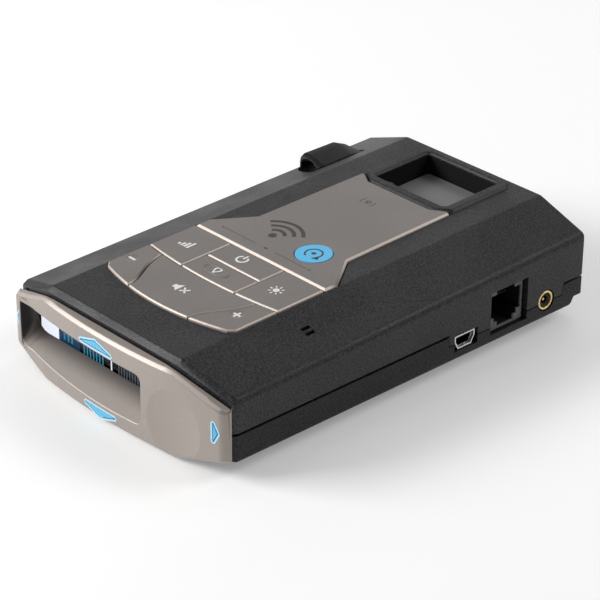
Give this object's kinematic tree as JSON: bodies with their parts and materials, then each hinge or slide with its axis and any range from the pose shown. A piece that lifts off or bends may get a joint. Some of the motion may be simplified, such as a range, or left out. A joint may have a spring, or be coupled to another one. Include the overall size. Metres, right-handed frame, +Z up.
{
  "type": "radar detector",
  "caption": "Windscreen radar detector: two-shell casing, angled front bezel with off-centre display and arrow lights, arched keypad, magnetic mount pocket with release button, side sockets.",
  "frame": {"origin": "centre of the footprint, at the height of the flat underside", "axes": "+Y from the display end towards the windscreen, +Z up, +X to the driver's right as they read the display"},
  "size_m": [0.089, 0.1407, 0.0329],
  "materials": {
    "casing": "fine-grained black",
    "trim": "satin taupe with a metallic paint",
    "blue": "clear blue",
    "lens": "smoked window",
    "board": "solder mask",
    "metal": "plated steel",
    "gold": "gilt",
    "zinc": "as cast",
    "rubber": "matte",
    "chip": "moulded",
    "grey": "moulded",
    "plate": "smooth grey steel",
    "ceramic": "ceramic with a plated patch",
    "label": "printed film, no text",
    "ribbon": "polyimide film"
  },
  "bodies": {
    "detector": {"top_casing": "casing", "bottom_casing": "casing", "front_bezel": "trim", "light_pipe_up": "blue", "light_pipe_down": "blue", "light_pipe_left": "blue", "light_pipe_right": "blue", "display_lens": "lens", "display_module": "chip", "display_board": "board", "lamp_up": "label", "lamp_down": "label", "lamp_left": "label", "lamp_right": "label", "display_ribbon": "ribbon", "badge_plate": "trim", "badge_disc": "blue", "keypad_mat": "rubber", "key_board": "board", "strike_plate": "plate", "button_spring": "metal", "main_board": "board", "rf_shield": "metal", "processor": "chip", "radio_module": "metal", "front_horn": "zinc", "rear_horn": "zinc", "gps_antenna": "ceramic", "usb_shell": "metal", "usb_tongue": "chip", "modular_jack": "grey", "jack_contacts": "gold", "earphone_jack": "chip", "earphone_ring": "gold", "speaker_frame": "chip", "speaker_cone": "grey", "laser_lens": "lens", "laser_sensor": "chip", "screw_near_right": "metal", "screw_near_left": "metal", "screw_far_right": "metal", "screw_far_left": "metal", "rating_label": "label", "switch_power": "chip", "switch_mark": "chip", "switch_sensitivity": "chip", "switch_brightness": "chip", "switch_mute": "chip", "switch_plus": "chip", "switch_minus": "chip"},
    "key_power": {"key_power": "trim"},
    "key_mark": {"key_mark": "trim"},
    "key_sensitivity": {"key_sensitivity": "trim"},
    "key_brightness": {"key_brightness": "trim"},
    "key_mute": {"key_mute": "trim"},
    "key_plus": {"key_plus": "trim"},
    "key_minus": {"key_minus": "trim"},
    "release_button": {"release_button": "rubber"},
    "release_latch": {"release_latch": "grey"}
  },
  "joints": [
    {"name": "key_power_press", "type": "slide", "parent": "detector", "child": "key_power", "axis": [0, 0.0224, -0.9997], "range_m": [0, 0.0005], "stiffness_N_per_m": 400, "springref_m": -0.0006},
    {"name": "key_mark_press", "type": "slide", "parent": "detector", "child": "key_mark", "axis": [0, 0.0224, -0.9997], "range_m": [0, 0.0005], "stiffness_N_per_m": 400, "springref_m": -0.0006},
    {"name": "key_sensitivity_press", "type": "slide", "parent": "detector", "child": "key_sensitivity", "axis": [0, 0.0224, -0.9997], "range_m": [0, 0.0005], "stiffness_N_per_m": 400, "springref_m": -0.0006},
    {"name": "key_brightness_press", "type": "slide", "parent": "detector", "child": "key_brightness", "axis": [0, 0.0224, -0.9997], "range_m": [0, 0.0005], "stiffness_N_per_m": 400, "springref_m": -0.0006},
    {"name": "key_mute_press", "type": "slide", "parent": "detector", "child": "key_mute", "axis": [0, 0.0224, -0.9997], "range_m": [0, 0.0005], "stiffness_N_per_m": 400, "springref_m": -0.0006},
    {"name": "key_plus_press", "type": "slide", "parent": "detector", "child": "key_plus", "axis": [0, 0.0224, -0.9997], "range_m": [0, 0.0005], "stiffness_N_per_m": 400, "springref_m": -0.0006},
    {"name": "key_minus_press", "type": "slide", "parent": "detector", "child": "key_minus", "axis": [0, 0.0224, -0.9997], "range_m": [0, 0.0005], "stiffness_N_per_m": 400, "springref_m": -0.0006},
    {"name": "release_press", "type": "slide", "parent": "detector", "child": "release_button", "axis": [0, 0, -1], "range_m": [0, 0.0015], "stiffness_N_per_m": 700, "springref_m": -0.001, "deforming": ["button_spring"]},
    {"name": "latch_slide", "type": "slide", "parent": "detector", "child": "release_latch", "axis": [-1, 0, 0], "range_m": [0, 0.0014]}
  ],
  "couplings": [
    {"joint": "latch_slide", "follows": "release_press", "ratio": 0.87}
  ]
}
